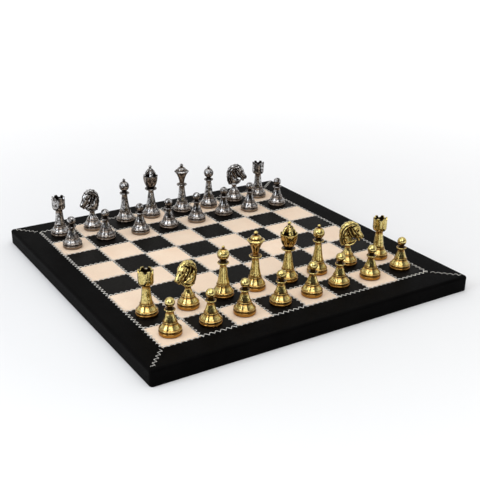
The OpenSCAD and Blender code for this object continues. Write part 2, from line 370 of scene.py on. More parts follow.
def rounded_corners(verts):
    """The points near the board's corners moved so that square outlines become round ones."""
    reach = np.abs(verts[:, :2]) - (BOARD / 2 - CORNER_R)
    in_corner = reach.min(1) > 0
    share = reach[in_corner].max(1) / np.hypot(*reach[in_corner].T)
    reach[in_corner] *= share[:, None]
    verts[in_corner, :2] = np.sign(verts[in_corner, :2]) * (BOARD / 2 - CORNER_R + reach[in_corner])
    return verts


def border_strip(name, turn):
    """One leather strip, drawn for the gold side and turned into place, with mitred ends."""
    back = np.array(Matrix.Rotation(math.radians(-turn), 2))
    shift = back @ MIDDLE         # the field's middle as the turned strip sees it
    seam = FIELD / 2 - shift[1]
    section = strip_section(seam + SEAM_GAP / 2)
    end = 0.016                   # share of the strip's length, at each mitre, with close grid lines
    wave, slack = 0.10, 0.16      # how far the leather's face dips and its side draws in
    near = np.linspace(0, end, 9)[:-1]
    steps = np.concatenate([near, np.linspace(end, 1 - end, 57), 1 - near[::-1]])
    count = len(section)
    outward = (section[:, 0] - seam) / (BOARD / 2 - seam)
    left = (shift[0] - FIELD / 2) * (1 - outward) - BOARD / 2 * outward + SEAM_GAP / 2
    right = (shift[0] + FIELD / 2) * (1 - outward) + BOARD / 2 * outward - SEAM_GAP / 2
    verts = np.zeros((len(steps), count, 3))
    for i, s in enumerate(steps):
        for j, (distance, height) in enumerate(section):
            x = left[j] + (right[j] - left[j]) * s
            inward = smooth_noise(x, distance, 34, turn) if height > -TOP + 1 else 0
            lift = wave * (smooth_noise(x, distance, 22, turn + 5) - 1) if height > -SKIN / 2 else 0
            pull = slack * (inward - 1) if distance > BOARD / 2 - 1.2 and height < -EDGE_R else 0
            verts[i, j] = (x, -distance - pull, TOP + height + lift)
    end_fall = np.clip(1 - np.minimum(steps, 1 - steps) * BOARD / 1.1, 0, 1)[:, None]
    verts[:, :, 2] -= 0.5 * end_fall ** 2 * (section[:, 1] > -SKIN / 2)[None, :]
    verts = rounded_corners(verts.reshape(-1, 3))
    faces = [f[::-1] for f in grid_faces(len(steps), count, closed_columns=True)]
    last = (len(steps) - 1) * count
    faces += [list(range(count)), [last + j for j in reversed(range(count))]]
    verts = verts @ np.array(Matrix.Rotation(math.radians(turn), 3, "Z").transposed())
    return add_piece(name + "_leather", verts, faces, BLACK, "board", (name,), 50)


for k, side in enumerate(("border_gold_side", "border_right", "border_silver_side", "border_left")):
    border_strip(side, 90 * k)


def tile_lines():
    """Places of a tile's grid lines across it, close together at its drawn-down edges."""
    half = (SQUARE - SEAM_GAP) / 2
    near = [0, 0.2, 0.6, 1.2, 2.2, 4.0]
    left = [-half + d for d in near]
    middle = np.linspace(-half + 4, half - 4, 10)[1:-1].tolist()
    return np.array(left + middle + [-x for x in reversed(left)])


def drawn_down(distance):
    """How far the leather is pulled down at that distance from a sewn edge: sharply, and then softly."""
    return 0.34 * math.exp(-distance / 0.55) + 0.10 * math.exp(-distance / 3.0)


def leather_tiles(light):
    """The 32 squares of one colour: pillowed tiles, pulled down along their sewn edges."""
    rng = random.Random(11 if light else 12)
    wave, deepest = 0.05, 0.6
    lines = tile_lines()
    n = len(lines)
    half = -lines[0]
    verts, faces, tints = [], [], []
    for file in range(8):
        for rank in range(8):
            if ((file + rank) % 2 == 0) != light:
                continue
            cx, cy = MIDDLE + np.array([file - 3.5, rank - 3.5]) * SQUARE
            start = len(verts)
            tint = rng.random()
            for x in lines:
                for y in lines:
                    fall = drawn_down(half - abs(x)) + drawn_down(half - abs(y))
                    fall += wave * (1 + smooth_noise(cx + x, cy + y, 11, 3.0))
                    verts.append((cx + x, cy + y, TOP - min(fall, deepest)))
            top = grid_faces(n, n, start=start)
            faces += [f[::-1] for f in top]
            rim = [i * n for i in range(n)] + [(n - 1) * n + j for j in range(1, n)]
            rim += [i * n + n - 1 for i in range(n - 2, -1, -1)] + [j for j in range(n - 2, 0, -1)]
            below = len(verts)
            verts += [(*verts[start + r][:2], TOP - SKIN) for r in rim]
            for a in range(len(rim)):
                b = (a + 1) % len(rim)
                faces.append((start + rim[b], start + rim[a], below + a, below + b))
            faces.append([below + a for a in reversed(range(len(rim)))])
            tints += [tint] * (len(verts) - start)
    name = "light_squares" if light else "dark_squares"
    return add_piece(name + "_leather", verts, faces, BEIGE if light else DARK, "board", (name,), 60,
                     {"tint": tints})


leather_tiles(True)
leather_tiles(False)

# ---- Thread ----

STITCH = 6.3                    # length of one zigzag, from tooth to tooth
TOOTH = 2.1                     # how far a tooth reaches to either side of the seam
THREAD_R = 0.33
MITRE_THREAD_R = 0.22           # the mitres are sewn with a thinner thread
STITCH_HEIGHTS = ((0.0, -0.75), (0.04, -0.1), (0.16, 0.12), (0.5, 0.16),       # the thread's height above
                  (0.84, 0.12), (0.96, -0.1), (1.0, -0.75))                    # the leather along a tooth


def zigzag(length, rng):
    """A thread's path along +X from 0: teeth left and right of the seam, diving into a hole at each tip."""
    count = max(2, round(length / (STITCH / 2)))
    step = length / count
    path = []
    for k in range(count):
        side = TOOTH if k % 2 else -TOOTH
        a = np.array([k * step, side * rng.uniform(0.93, 1.05)])
        b = np.array([(k + 1) * step, -side * rng.uniform(0.93, 1.05)])
        for t, z in STITCH_HEIGHTS:
            path.append([*(a + (b - a) * t), z])
    return np.array(path)


def tube(path, radius, sides=7):
    """Points, faces and running twist of a closed tube along a path of points."""
    ahead = np.gradient(path, axis=0)
    ahead /= np.linalg.norm(ahead, axis=1)[:, None]
    across = np.cross(ahead, [0, 0, 1.0])
    across /= np.linalg.norm(across, axis=1)[:, None]
    upward = np.cross(across, ahead)
    angles = np.linspace(0, 2 * np.pi, sides, endpoint=False)
    ring = np.cos(angles)[None, :, None] * across[:, None] + np.sin(angles)[None, :, None] * upward[:, None]
    verts = (path[:, None] + radius * ring).reshape(-1, 3)
    along = np.concatenate([[0], np.cumsum(np.linalg.norm(np.diff(path, axis=0), axis=1))])
    twist = (along[:, None] * 1.1 + angles[None, :] / np.pi).reshape(-1)
    faces = grid_faces(len(path), sides, closed_columns=True)
    faces += [list(reversed(range(sides))), [(len(path) - 1) * sides + j for j in range(sides)]]
    return verts, faces, twist


def thread_run(name, start, direction, length, replaced, radius=THREAD_R):
    """One run of zigzag thread from a point on the board's top in a direction given in degrees."""
    path = zigzag(length, random.Random(name))
    verts, faces, twist = tube(path, radius)
    turn = np.array(Matrix.Rotation(math.radians(direction), 3, "Z"))
    verts = verts @ turn.T + np.array([*start, TOP])
    return add_piece(name, verts, [f[::-1] for f in faces], THREAD, "board", (replaced,), None,
                     {"twist": twist})


for k in range(9):
    along, seam = -FIELD / 2, (k - 4) * SQUARE
    thread_run(f"thread_rank_{k}", MIDDLE + (along, seam), 0, FIELD, "field_stitching")
    thread_run(f"thread_file_{k}", MIDDLE + (seam, along), 90, FIELD, "field_stitching")
for k, side in enumerate(((1, 1), (-1, 1), (-1, -1), (1, -1))):
    inner = MIDDLE + np.array(side) * FIELD / 2
    mitre = np.array(side) * BOARD / 2 - inner
    length = np.linalg.norm(mitre)
    start = inner + mitre / length * 2 * TOOTH
    angle = math.degrees(math.atan2(mitre[1], mitre[0]))
    length -= 2 * TOOTH + MITRE_END + EDGE_R
    thread_run(f"thread_corner_{k}", start, angle, length, "corner_stitching", MITRE_THREAD_R)

# ---- Outlines of the turned chessmen: [radius, height] from the foot up ----

PAD = 0.8                       # thickness of the felt
FOOT_R = 11.9
PLINTH_TOP = 4.0
RIM_Z = 6.6                     # height of the bell's rim
PAWN_RING = 13.6                # height of the ring on the foot of pawns, rooks and knights
OFFICER_RING = 14.8             # and of bishops, queens and kings


def foot(ring):
    """The foot that all chessmen share: plinth, groove, rim, bell, and a ring at a height of its own."""
    plinth = [[0, PAD], [FOOT_R - 0.35, PAD]] + arc(FOOT_R - 0.3, PAD + 0.3, 0.3, -60, 0, 3)
    plinth += [[FOOT_R, PLINTH_TOP - 0.5], [FOOT_R - 0.45, PLINTH_TOP]]
    groove = [[FOOT_R - 1.3, PLINTH_TOP + 0.1], [FOOT_R - 1.4, RIM_Z - 1.2]]
    rim = arc(FOOT_R - 0.8, RIM_Z - 0.2, 0.5, -60, 70, 6)
    bell = curve([FOOT_R - 1.2, RIM_Z + 0.5], [8.9, RIM_Z + 3.1], [6.9, ring - 0.8], 12)
    return plinth + groove + rim + bell + arc(6.8, ring, 0.5, -70, 85, 8)


def collar(r, z, thick, dish=0.35):
    """A slim disc standing out from a stem, its upper face a little dished."""
    half = thick / 2
    return [[r - 2.2, z + 0.1]] + arc(r - half, z + half, half, -90, 80, 8) + [[r - 1.5, z + thick - dish]]


def pawn(height):
    """A ball on a short neck, over a collar."""
    ball = 5.1
    return (foot(PAWN_RING) + curve([6.6, PAWN_RING + 0.6], [4.6, 19.4], [3.2, 25.6], 12)
            + collar(5.7, 25.8, 1.4) + curve([3.0, 27.3], [2.5, 28.4], [3.0, 29.6], 5)
            + arc(0, height - ball, ball, -56, 90, 22))


def rook(height):
    """A tower, hollow at the top. Its notches come later, from notched()."""
    base = 35
    wall, floor = 8.2, height - 5.5
    return (foot(PAWN_RING) + curve([6.6, PAWN_RING + 0.6], [5.1, 20], [4.2, base - 1.5], 12)
            + curve([4.4, base - 1], [7.3, base - 0.6], [wall - 0.4, base + 1.5], 8)
            + [[wall, base + 3], [wall, base + 5], [wall, height - 5], [wall, height - 3.2]]
            + [[wall, height - 1.2], [wall, height], [wall - 1.7, height], [wall - 1.8, height - 1.2]]
            + [[wall - 1.9, height - 3.2], [wall - 2.1, floor], [0, floor]])


def bishop(height):
    """A tall stem and a collar under a ball with a small finial."""
    ball = 6.6
    return (foot(OFFICER_RING) + curve([6.7, OFFICER_RING + 0.6], [4.7, 23.5], [3.4, 38.1], 12)
            + collar(6.4, 38.4, 1.5) + curve([3.9, 39.9], [2.7, 41.3], [3.4, 42.7], 6)
            + arc(0, height - 10.1, ball, -57, 76, 24) + arc(0, height - 1.8, 1.8, -46, 90, 10))


def queen(height):
    """A flared cup with a thin rim, closed by a domed lid with a ball."""
    rim = 57
    return (foot(OFFICER_RING) + curve([6.7, OFFICER_RING + 0.6], [4.7, 23], [3.6, 37.5], 12)
            + collar(7, 37.8, 1.5) + [[4.1, 39.4]] + curve([3.2, 41], [4.2, 50], [9.5, rim - 0.5], 14)
            + arc(9.35, rim, 0.4, -60, 70, 5)
            + curve([8.9, rim + 0.7], [8.2, rim + 1.3], [7.4, rim + 1.5], 4)
            + [[7.0, rim + 0.5], [6.6, rim + 0.6]]
            + curve([6.5, rim + 1.6], [5.8, rim + 4.9], [2.0, rim + 6.0], 10)
            + [[1.5, rim + 6.2]] + arc(0, height - 2.3, 2.3, -50, 90, 10))


def king_cup(_height):
    """The king up to the cup's rim. The crown, made apart, gives it its height."""
    rim = 57
    return (foot(OFFICER_RING) + curve([6.7, OFFICER_RING + 0.6], [4.8, 24], [3.2, 37.7], 12)
            + collar(8, 38, 1.6) + [[4.6, 39.8]] + curve([4.8, 40.6], [9.5, 46], [9.9, rim - 0.4], 16)
            + [[9.9, rim], [9.0, rim], [8.7, rim - 0.6]]
            + curve([8.5, rim - 1.4], [7.8, 51.5], [0, 50.6], 8))


def knight_stem(_height):
    """The knight up to the horse, which is made apart."""
    neck = 23.4
    return (foot(PAWN_RING) + curve([6.5, PAWN_RING + 0.6], [4.1, 17.5], [3.1, neck - 1.2], 10)
            + curve([3.1, neck - 1], [3.2, neck], [3.4, neck + 0.6], 3) + [[0, neck + 0.6]])


# ---- Turning ----

SEGMENTS = 96
UNDERSIDE_SHADE = 0.10          # painted shade added where a surface faces down
GROOVE_PATINA_AND_SHADE = 0.29             # most patina and painted shade in the groove over the plinth, which buffing reaches


def hollowness(outline, reach=3.8):
    """How much each point of an outline lies in a recess, from 0 to 1, from the horizon to either side."""
    ahead = np.gradient(outline, axis=0)
    ahead /= np.linalg.norm(ahead, axis=1)[:, None] + 1e-9
    outward = np.stack([ahead[:, 1], -ahead[:, 0]], 1)
    result = np.zeros(len(outline))
    for i, here in enumerate(outline):
        for side in (outline[:i], outline[i + 1:]):
            away = side - here
            far = np.linalg.norm(away, axis=1)
            near = (far > 1e-6) & (far < reach)
            if near.any():
                rise = (away[near] @ outward[i]) / far[near]
                result[i] += 0.5 * max(0, (rise * (1 - 0.5 * far[near] / reach)).max())
    return np.clip(result, 0, 1)


def turned(outline, x, y, shape=None, painted_shade_inside=False):
    """Points, faces, and patina with painted shade, of a turned casting. shape(angle, r, z) bends its points
    and adds patina and painted shade to them.
    """
    outline = soften(outline)
    patina_and_shade = hollowness(outline)
    facing_down = np.gradient(outline[:, 0]) > 0.02
    # Surfaces facing down get painted shade.
    patina_and_shade = np.where(facing_down, np.minimum(1, patina_and_shade + UNDERSIDE_SHADE), patina_and_shade)
    # The plinth is kept brown at least: a painted reflection of the beige squares around it.
    patina_and_shade = np.where(outline[:, 1] < PLINTH_TOP - 0.3, np.maximum(patina_and_shade, BROWN), patina_and_shade)
    patina_and_shade = np.where(outline[:, 1] < RIM_Z, np.minimum(patina_and_shade, GROOVE_PATINA_AND_SHADE), patina_and_shade)
    # Inside a hollow top the colour goes fully black: painted shade.
    if painted_shade_inside:
        inside = np.arange(len(outline)) > np.argmax(outline[:, 1] > outline[:, 1].max() - 1e-6) + 3
        patina_and_shade = np.where(inside, 1, patina_and_shade)
    angles = np.linspace(0, 2 * np.pi, SEGMENTS, endpoint=False)
    r, z = np.repeat(outline[None, :, 0], SEGMENTS, 0), np.repeat(outline[None, :, 1], SEGMENTS, 0)
    added_patina_and_shade = 0
    if shape:
        r, z, added_patina_and_shade = shape(angles[:, None], r, z)
    verts = np.stack([x + r * np.cos(angles)[:, None], y + r * np.sin(angles)[:, None], TOP + z], -1)
    patina_and_shade = np.clip(np.broadcast_to(patina_and_shade, r.shape) + added_patina_and_shade, 0, 1).reshape(-1)
    count = len(outline)
    faces = grid_faces(SEGMENTS, count, closed_rows=True)
    return close_poles(verts.reshape(-1, 3), faces, patina_and_shade, count, outline)


def close_poles(verts, faces, patina_and_shade, count, outline):
    """Merges each end of the outline that lies on the axis into one point."""
    poles = [j for j in (0, count - 1) if outline[j, 0] < 1e-6]
    target = np.arange(len(verts))
    for j in poles:
        target[np.arange(SEGMENTS) * count + j] = j
    kept = np.unique(target)
    number = np.zeros(len(verts), int)
    number[kept] = np.arange(len(kept))
    result = []
    for face in faces:
        corners = list(dict.fromkeys(int(number[target[v]]) for v in face))
        if len(corners) > 2:
            result.append(corners)
    return verts[kept], result, patina_and_shade[kept]


def notched(height):
    """The rook's battlements: six rounded notches cut into the wall's top."""
    depth, half_angle, reach = 2.7, math.radians(17), 5.0

    def shape(angle, r, z):
        turn = np.abs((angle + math.pi / 6) % (math.pi / 3) - math.pi / 6)
        notch = depth * np.clip(1 - (turn / half_angle) ** 2, 0, 1) ** 0.6
        on_wall = np.clip((z - (height - reach)) / reach, 0, 1) * (r > 6.2)
        return r, z - notch * on_wall, 0

    return shape


FLUTES = 8


def petalled(angle, r, z):
    """The king's cup: its flutes, that deepen towards a scalloped rim, are darkened in their hollows with
    patina and painted shade.
    """
    on_cup = r > 5
    rise = np.clip((z - 44) / 13, 0, 1) * on_cup
    lobe = 0.5 + 0.5 * np.cos(FLUTES * (angle + 0.2))
    # Patina and painted shade in the hollows between the flutes.
    added_patina_and_shade = 0.07 * on_cup * np.clip((z - 41) / 4, 0, 1) * (1 - lobe)
    return r * (1 - 0.045 * rise * (1 - lobe)), z - 0.8 * rise ** 3 * (1 - lobe), added_patina_and_shade


# ---- Sculpted parts, as distance fields meshed on a grid ----


def beside(p, start, end):
    """How far along a line in the side plane each point is, from 0 to 1, and how far off it."""
    axis = np.array(end) - np.array(start)
    u, z = p[..., 0] - start[0], p[..., 2] - start[1]
    along = np.clip((u * axis[0] + z * axis[1]) / (axis @ axis), 0, 1)
    return along, np.hypot(u - axis[0] * along, z - axis[1] * along)


def limb(p, points, blend=0.6):
    """Distance to a chain of rounded limbs in the side plane: points are (u, z, radius, half width)."""
    result = None
    for (u0, z0, r0, w0), (u1, z1, r1, w1) in zip(points, points[1:]):
        along, away = beside(p, (u0, z0), (u1, z1))
        r, w = r0 + (r1 - r0) * along, w0 + (w1 - w0) * along
        distance = (np.sqrt((away / r) ** 2 + (p[..., 1] / w) ** 2) - 1) * np.minimum(r, w)
        result = distance if result is None else join(result, distance, blend)
    return result


def join(a, b, blend):
    """Smooth union of two distances."""
    share = np.clip(0.5 + 0.5 * (b - a) / blend, 0, 1)
    return b + (a - b) * share - blend * share * (1 - share)


def carve(a, b, blend):
    """Distance a with the shape b cut out of it, smoothly."""
    return -join(-a, b, blend)


def trench(p, points, half_width, floor):
    """A groove along a line in the side plane, cut into both flanks down to floor from the middle."""
    away = np.inf
    for start, end in zip(points, points[1:]):
        away = np.minimum(away, beside(p, start, end)[1])
    return np.maximum(away - half_width, floor - np.abs(p[..., 1]))


def ball(p, u, v, z, radius):
    """Distance to a pair of balls, one on either flank."""
    return np.sqrt((p[..., 0] - u) ** 2 + (np.abs(p[..., 1]) - v) ** 2 + (p[..., 2] - z) ** 2) - radius


def pair(p, half_gap):
    """The points as a mirrored pair of shapes sees them, each half_gap from the middle."""
    return np.stack([p[..., 0], np.abs(p[..., 1]) - half_gap, p[..., 2]], -1)


def horse(p):
    """The knight's horse, facing +u."""
    shape = join(horse_neck(p), horse_head(p), 0.35)
    return horse_chest(p, bridle(p, shape))


def horse_neck(p):
    """The arched neck, with its mane as a ribbed band down the back."""
    neck = limb(p, [(-0.6, 25.4, 3.6, 3.0), (-2.4, 29.4, 5.2, 3.9), (-4.4, 34, 4.6, 4.9),
                    (-4.8, 39, 4.2, 5.3), (-3.6, 43.6, 4.6, 5.0), (-0.2, 46.8, 4.8, 4.7),
                    (3.6, 47.6, 4.4, 4.3)], 1.5)
    mane = limb(p, [(-6.4, 25.4, 1.8, 2.9), (-7.7, 30.2, 2.2, 3.3), (-8.5, 35.6, 2.2, 3.6),
                    (-8.3, 40.8, 2.3, 3.8), (-6.6, 45.8, 2.4, 3.8), (-3.2, 49.5, 2.4, 3.6),
                    (0.8, 51.0, 2.3, 3.2), (4.6, 50.9, 2.2, 2.7), (7.0, 49.8, 1.8, 2.2)], 0.8)
    crest = limb(p, [(-4.6, 27.0, 0.8, 4.1), (-6.0, 31, 0.9, 4.7), (-6.9, 35.6, 0.9, 5.2),
                     (-6.7, 40.4, 0.9, 5.4), (-5.0, 44.6, 0.9, 5.4), (-1.8, 47.7, 0.9, 5.1),
                     (2.0, 49.0, 0.8, 4.4)], 0.4)
    throat = limb(p, [(-1.0, 42.0, 3.6, 2.3), (0.6, 38.0, 3.2, 2.3), (2.6, 34.4, 2.0, 1.9)], 0.6)
    body = join(join(join(neck, throat, 0.5), mane, 0.5), crest, 0.35)
    rib = [(-6.0, 26.4), (-7.4, 31), (-8.2, 36), (-8.0, 40.8), (-6.2, 45.4), (-2.8, 48.8), (1.4, 50.2),
           (5.4, 50.0)]
    body = carve(body, trench(p, rib, 0.28, 3.1), 0.5)
    inner = [(-5.4, 38), (-5.0, 41), (-3.8, 43.4), (-1.0, 46.0), (2.2, 46.8)]
    body = carve(body, trench(p, inner, 0.22, 4.3), 0.6)
    for k in range(6):
        z = 25.2 + 1.5 * k
        body = carve(body, trench(p, [(-10.4, z), (-7.0, z + 0.9)], 0.18, 1.4), 0.5)
    return body


def horse_head(p):
    """The head, from the poll down to the muzzle and chin."""
    head = limb(p, [(5.4, 47.3, 4.6, 4.2), (8.5, 43.5, 4.6, 4.2), (11.4, 38.8, 3.5, 3.4),
                    (14.4, 35.5, 2.9, 2.9)], 1.2)
    cheek = limb(p, [(4.2, 42.6, 4.2, 4.4), (7.2, 38.6, 3.9, 4.2), (10.6, 34.8, 2.6, 3.0)], 1.0)
    head = join(head, cheek, 0.8)
    face = limb(p, [(4.6, 50.8, 2.3, 2.9), (8.2, 49.0, 2.4, 2.8), (11.2, 44.6, 2.2, 2.5),
                    (12.4, 39.6, 1.7, 1.9)], 0.6)
    head = join(head, face, 0.5)
    muzzle = limb(p, [(14.2, 37.2, 2.4, 2.6), (15.0, 35.0, 2.7, 3.0), (15.0, 34.0, 2.0, 2.9)], 0.6)
    head = join(head, muzzle, 0.4)
    chin = limb(p, [(11.4, 32.6, 1.7, 2.2), (12.4, 31.0, 1.6, 2.0)])
    head = join(head, chin, 0.5)
    mouth = [(17.6, 32.6), (14.6, 32.6), (12.4, 34.4)]
    head = carve(head, trench(p, mouth, 0.3, 1.0), 0.5)
    nostril = ball(p, 15.9, 2.7, 35.9, 0.8)
    head = carve(head, nostril, 0.4)
    ear = limb(pair(p, 1.9), [(2.8, 50.2, 1.5, 1.1), (4.0, 52.0, 1.0, 0.8), (4.8, 53.1, 0.4, 0.4)])
    return join(head, ear, 0.5)


def bridle(p, shape):
    """The deep hollow behind the jaw, the bars of the bridle beside it, and the eye."""
    hollow = [(-2.6, 44.4), (-1.6, 40.6), (0.8, 37.0), (5.0, 33.4)]
    shape = carve(shape, trench(p, hollow, 1.15, 2.2), 0.7)
    jaw_strap = limb(p, [(-0.2, 44.4, 0.9, 4.9), (2.2, 39.6, 1.0, 4.9), (5.4, 34.8, 0.9, 4.1)], 0.4)
    shape = join(shape, jaw_strap, 0.3)
    shape = carve(shape, trench(p, [(1.8, 44.6), (4.3, 39.8), (7.8, 34.8)], 0.45, 3.0), 0.5)
    cheek_strap = limb(p, [(3.7, 44.6, 0.9, 5.0), (6.6, 39.8, 1.0, 4.8), (10.2, 35.0, 0.8, 3.6)], 0.4)
    shape = join(shape, cheek_strap, 0.3)
    shape = carve(shape, trench(p, [(5.9, 43.4), (8.7, 39.6), (11.8, 36.4)], 0.4, 2.9), 0.5)
    shape = carve(shape, trench(p, [(1.6, 45.8), (4.0, 47.6), (6.6, 48.8)], 0.75, 2.3), 0.6)
    socket, eye = ball(p, 10.4, 4.4, 42.9, 1.7), ball(p, 8.9, 3.2, 44.4, 1.7)
    shape = join(carve(shape, socket, 0.5), eye, 0.2)
    brow = limb(pair(p, 3.3), [(6.4, 46.9, 0.6, 0.7), (9.0, 47.2, 0.8, 0.8), (11.2, 45.4, 0.6, 0.6)])
    return join(shape, brow, 0.4)


def horse_chest(p, shape):
    """The shape with its chest: a curved rim from the mane's foot to a tip under the chin."""
    chest = limb(p, [(-2.0, 30.2, 4.4, 4.1), (1.4, 29.8, 3.6, 3.8), (4.2, 29.8, 2.5, 3.2),
                     (7.0, 30.0, 1.2, 2.2)], 1.2)
    shape = join(shape, chest, 0.8)
    shape = carve(shape, trench(p, [(-3.0, 26.4), (1.0, 26.5), (4.6, 27.7), (7.4, 30.2)], 0.3, 3.2), 0.5)
    rim = limb(p, [(-5.4, 25.4, 1.3, 3.3), (-2.4, 24.9, 1.5, 3.9), (1.4, 24.9, 1.5, 4.1),
                   (4.8, 26.2, 1.4, 3.8), (7.6, 28.4, 1.15, 3.2), (9.4, 31.0, 0.8, 2.0)], 0.5)
    return join(shape, rim, 0.3)


KING_ARCH = math.radians(-107)      # direction of one of the crown's arches, towards the gold side


def crown(p):
    """The king's crown inside its cup: four broad arches over a round cap, under a ball."""
    r, z = np.hypot(p[..., 0], p[..., 1]), p[..., 2]
    angle = (np.arctan2(p[..., 1], p[..., 0]) - KING_ARCH + np.pi / 4) % (np.pi / 2) - np.pi / 4
    folded = np.stack([r * np.cos(angle), r * np.sin(angle), z], -1)
    arches = limb(folded, [(7.4, 54.4, 1.2, 2.4), (6.8, 57.4, 1.2, 2.3), (5.6, 60.6, 1.1, 2.2),
                           (4.3, 63.0, 1.0, 1.9), (2.6, 64.8, 0.9, 1.5), (0.8, 65.5, 0.8, 1.1)], 0.6)
    cap = np.sqrt(r ** 2 + (z - 60.4) ** 2) - 4.9
    drum = np.maximum(r - 3.6, np.abs(z - 55.5) - 5)
    hub = np.sqrt((r / 2.6) ** 2 + ((z - 66.0) / 0.8) ** 2) - 1
    neck = np.maximum(r - 1.3, np.abs(z - 66.6) - 1.2)
    shape = join(join(cap, drum, 0.6), arches, 0.35)
    shape = join(join(shape, hub * 0.8, 0.3), neck, 0.3)
    finial = np.sqrt(r ** 2 + (z - 68.9) ** 2) - 2.1
    return join(shape, finial, 0.25)


def surface_net(distance, low, high, step):
    """Points and quads of the surface where distance(points) is 0, one point per grid cell it crosses."""
    axes = [np.arange(a, b + step, step) for a, b in zip(low, high)]
    grid = np.stack(np.meshgrid(*axes, indexing="ij"), -1)
    value = distance(grid)
    inside = value < 0
    shape = np.array(value.shape) - 1
    total, count = np.zeros((*shape, 3)), np.zeros(tuple(shape))
    for axis in range(3):
        first = tuple(slice(None, -1) if a == axis else slice(None) for a in range(3))
        second = tuple(slice(1, None) if a == axis else slice(None) for a in range(3))
        crossed = inside[first] != inside[second]
        drop = np.where(crossed, value[first] - value[second], 1)
        point = grid[first].copy()
        point[..., axis] += step * value[first] / drop
        point *= crossed[..., None]
        others = [a for a in range(3) if a != axis]
        for one in (0, 1):
            for two in (0, 1):
                cut = [slice(None)] * 3
                cut[others[0]] = slice(one, one + shape[others[0]])
                cut[others[1]] = slice(two, two + shape[others[1]])
                total += point[tuple(cut)]
                count += crossed[tuple(cut)]
    used = count > 0
    number = np.full(count.shape, -1)
    number[used] = np.arange(used.sum())
    verts = total[used] / count[used][:, None]
    quads = [net_quads(number, inside, axis) for axis in range(3)]
    return verts, np.concatenate(quads)


def net_quads(number, inside, axis):
    """Quads round the grid edges along one axis that the surface crosses, facing outwards."""
    order = (axis, (axis + 1) % 3, (axis + 2) % 3)
    number, inside = number.transpose(order), inside.transpose(order)
    lower, upper = inside[:-1, 1:-1, 1:-1], inside[1:, 1:-1, 1:-1]
    i, j, k = np.nonzero(lower != upper)
    quad = np.stack([number[i, j, k], number[i, j + 1, k], number[i, j + 1, k + 1], number[i, j, k + 1]], 1)
    flip = ~lower[i, j, k]
    quad[flip] = quad[flip][:, ::-1]
    return quad


PATINA_AND_SHADE_FROM = 0.09               # how closed in a point is where its patina and painted shade start
PATINA_AND_SHADE_GAIN = 2.6                # how fast the patina and painted shade grow from there


def sculpted(distance, low, high, step):
    """Points, quads and patina with painted shade of a sculpted shape, both from how closed in each point is.
    """
    verts, quads = surface_net(distance, low, high, step)
    for _ in range(2):
        verts = relaxed(verts, quads, 0.5)
    nudge = step / 2
    value = distance(verts)
    slope = np.stack([distance(verts + nudge * np.eye(3)[a]) - value for a in range(3)], -1) / nudge
    steepness = np.linalg.norm(slope, axis=1) + 1e-9
    outward = slope / steepness[:, None]
    closed_in = np.zeros(len(verts))
    for reach in (0.5, 1.0, 1.8):
        rise = (distance(verts + reach * outward) - value) / (reach * steepness)
        closed_in += np.clip(1 - rise, 0, 1) / 3
    return verts, quads, np.clip(PATINA_AND_SHADE_GAIN * (closed_in - PATINA_AND_SHADE_FROM), 0, 1)


def relaxed(verts, quads, share):
    """The points moved part of the way to the middle of their neighbours."""
    total, count = np.zeros_like(verts), np.zeros(len(verts))
    for a in range(4):
        for b in ((a + 1) % 4, (a + 3) % 4):
            np.add.at(total, quads[:, a], verts[quads[:, b]])
            np.add.at(count, quads[:, a], 1)
    return verts + share * (total / count[:, None] - verts)


HORSE = sculpted(horse, low=(-12, -6.4, 21.8), high=(19.5, 6.5, 54.6), step=0.3)
CROWN = sculpted(crown, low=(-8, -8, 49), high=(8.1, 8.1, 71.4), step=0.25)


def placed(sculpture, x, y, turn=0.0):
    """A sculpture's points turned about its foot's axis and moved to its place on the board."""
    verts, quads, patina_and_shade = sculpture
    rotation = np.array(Matrix.Rotation(math.radians(turn), 3, "Z"))
    return verts @ rotation.T + np.array([x, y, TOP]), quads.tolist(), patina_and_shade


def merged(*parts):
    """Several (points, faces, patina and painted shade) parts as one."""
    verts, faces, patina_and_shade = [], [], []
    for part_verts, part_faces, part_patina_and_shade in parts:
        start = sum(len(v) for v in verts)
        verts.append(part_verts)
        faces += [[start + v for v in face] for face in part_faces]
        patina_and_shade.append(part_patina_and_shade)
    return np.concatenate(verts), faces, np.concatenate(patina_and_shade)


# ---- Chessmen ----

OUTLINES = {"pawn": pawn, "rook": rook, "bishop": bishop, "queen": queen, "king": king_cup,
            "knight": knight_stem}


def casting(kind, x, y, height, faces_left):
    """Points, faces, and patina with painted shade, of one chessman's metal casting."""
    outline = OUTLINES[kind](height)
    if kind == "rook":
        return turned(outline, x, y, notched(height), painted_shade_inside=True)
    if kind == "king":
        return merged(turned(outline, x, y, petalled, painted_shade_inside=True), placed(CROWN, x, y))
    if kind == "knight":
        turn = 180 + LEFT_TURN if faces_left else -RIGHT_TURN
        return merged(turned(outline, x, y), placed(HORSE, x, y, turn))
    return turned(outline, x, y)


def felt_pad(name, x, y, replaced):
    """The felt disc under a foot, its rim a little rounded and uneven from being cut by hand."""
    radius, top = FOOT_R - 1.1, PAD - 0.02
    outline = soften([[0, 0], [radius - 0.1, 0], [radius, 0.3], [radius - 0.05, top], [0, top]], 0.15)

    def uneven(angle, r, z):
        return r * (1 + 0.006 * np.sin(5 * angle + x) + 0.004 * np.sin(11 * angle + y)), z, 0

    verts, faces, _ = turned(outline, x, y, uneven)
    return add_piece(name + "_pad", verts, faces, FELT, name, replaced, 50)


